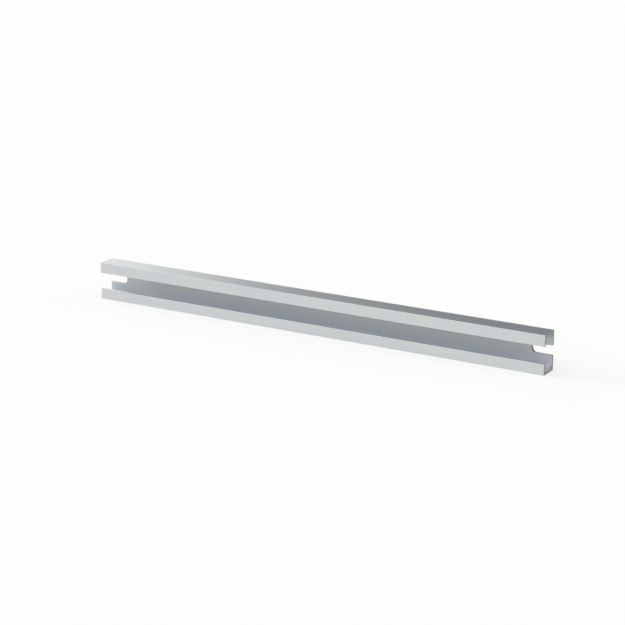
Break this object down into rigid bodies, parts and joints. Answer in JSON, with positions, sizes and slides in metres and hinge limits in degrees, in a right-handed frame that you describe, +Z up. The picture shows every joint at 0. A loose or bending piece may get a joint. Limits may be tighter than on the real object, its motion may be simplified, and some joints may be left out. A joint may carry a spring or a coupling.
{
  "type": "mounting profile rail",
  "caption": "Straight open C-section rail with a front mouth for T-head bolts, guide ribs in its rear corners and an open screw slot in the web at each end.",
  "frame": {"origin": "underside of the lower flange, at mid length and mid depth", "axes": "+X along the rail, +Y out of the back of the web, away from the open mouth, +Z up"},
  "size_m": [0.362, 0.015, 0.028],
  "materials": {
    "aluminium": "satin, clear anodised, with fine die lines along the length"
  },
  "bodies": {
    "root": {"profile_rail": "aluminium"}
  },
  "joints": []
}
